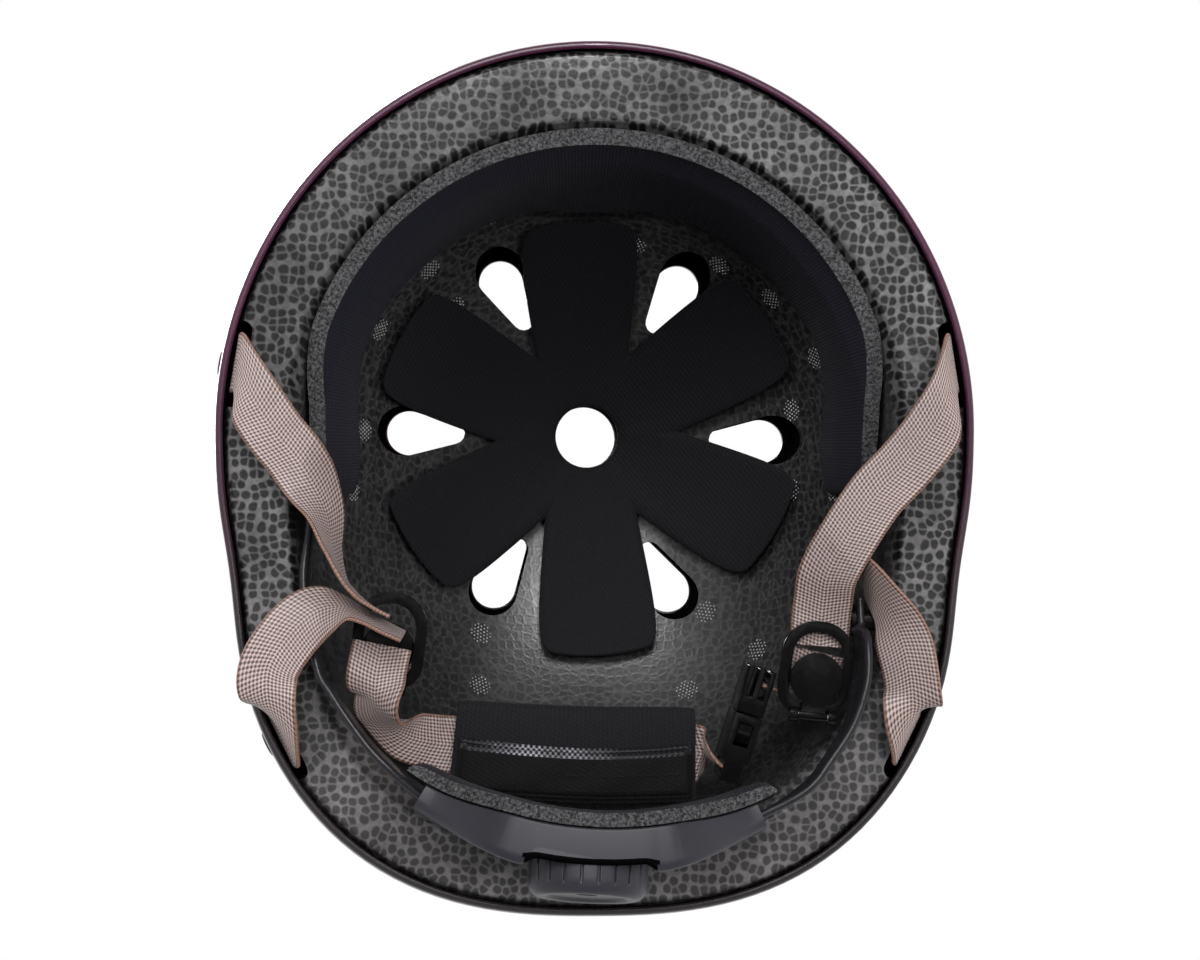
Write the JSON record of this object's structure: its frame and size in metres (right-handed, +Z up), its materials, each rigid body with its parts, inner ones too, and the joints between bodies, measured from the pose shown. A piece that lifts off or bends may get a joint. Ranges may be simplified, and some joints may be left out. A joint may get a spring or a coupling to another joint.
{
  "type": "bicycle helmet",
  "caption": "Round bicycle helmet with hard shell, vented foam liner, loose pads, dial fit cradle, webbing with dividers and a side release buckle",
  "frame": {"origin": "under the middle of the bounding box, on the table the helmet stands on", "axes": "+Z up towards the crown, -Y the forehead, +X the wearer's left; the front of the rim and the cradle's lower edge rest on the table"},
  "size_m": [0.2208, 0.2526, 0.1569],
  "materials": {
    "shell": "satin dark plum",
    "foam": "fused foam beads",
    "pad": "black knit over foam",
    "webbing": "woven taupe webbing",
    "slate": "matte slate grey",
    "black": "polished black",
    "hook": "hook tape",
    "steel": "plain"
  },
  "bodies": {
    "helmet": {"outer_shell": "shell", "foam_liner": "foam", "strap_rivets": "shell", "strap_washers": "steel", "left_front_strap": "webbing", "left_rear_strap": "webbing", "right_front_strap": "webbing", "right_rear_strap": "webbing", "left_chin_strap": "webbing", "right_chin_strap": "webbing", "chin_pad": "pad", "left_divider": "black", "right_divider": "black", "left_lever_pin": "steel", "right_lever_pin": "steel", "buckle_socket": "black", "left_belt": "slate", "right_belt": "slate", "temple_anchors": "black", "brow_pad": "pad", "crown_pad": "pad", "hook_dots": "hook"},
    "cradle": {"cradle_back": "slate", "cradle_cover": "slate", "cradle_pad": "pad", "cradle_screws": "steel", "click_ring": "black"},
    "dial": {"dial_knob": "slate", "dial_gear": "black", "dial_screw": "steel"},
    "left_tail": {"left_rack": "slate"},
    "right_tail": {"right_rack": "slate"},
    "left_lock": {"left_lever": "black"},
    "right_lock": {"right_lever": "black"},
    "plug": {"buckle_plug": "black", "buckle_prongs": "black"}
  },
  "joints": [
    {"name": "fit_slide", "type": "slide", "parent": "helmet", "child": "cradle", "axis": [0, -1, 0], "range_m": [-0.003, 0.012], "deforming": ["left_belt", "right_belt"]},
    {"name": "dial_turn", "type": "hinge", "parent": "cradle", "child": "dial", "pos_m": [-0.003, 0.10808, 0.01851], "axis": [-0.059, 0.9952, -0.0787], "range_deg": [-108.1, 27.1]},
    {"name": "left_rack_travel", "type": "hinge", "parent": "cradle", "child": "left_tail", "pos_m": [0.00301, 0.00657, 0.02654], "axis": [-0.0158, 0.0779, 0.9968], "range_deg": [-1.3, 5.1]},
    {"name": "right_rack_travel", "type": "hinge", "parent": "cradle", "child": "right_tail", "pos_m": [0.00301, 0.00657, 0.02654], "axis": [-0.0158, 0.0779, 0.9968], "range_deg": [-5.1, 1.3]},
    {"name": "left_lever_turn", "type": "hinge", "parent": "helmet", "child": "left_lock", "pos_m": [0.06145, 0.07065, 0.03446], "axis": [0.9934, 0.113, 0.021], "range_deg": [0, 80]},
    {"name": "right_lever_turn", "type": "hinge", "parent": "helmet", "child": "right_lock", "pos_m": [-0.06108, 0.06116, 0.0388], "axis": [-0.9903, -0.1368, -0.0254], "range_deg": [0, 80]},
    {"name": "buckle_release", "type": "slide", "parent": "helmet", "child": "plug", "axis": [0.3007, -0.9377, -0.1739], "range_m": [0, 0.012], "deforming": ["buckle_prongs", "left_chin_strap"]}
  ],
  "couplings": [
    {"joint": "dial_turn", "follows": "fit_slide", "rad_per_m": -157.08},
    {"joint": "left_rack_travel", "follows": "fit_slide", "rad_per_m": 7.353},
    {"joint": "right_rack_travel", "follows": "fit_slide", "rad_per_m": -7.353}
  ]
}
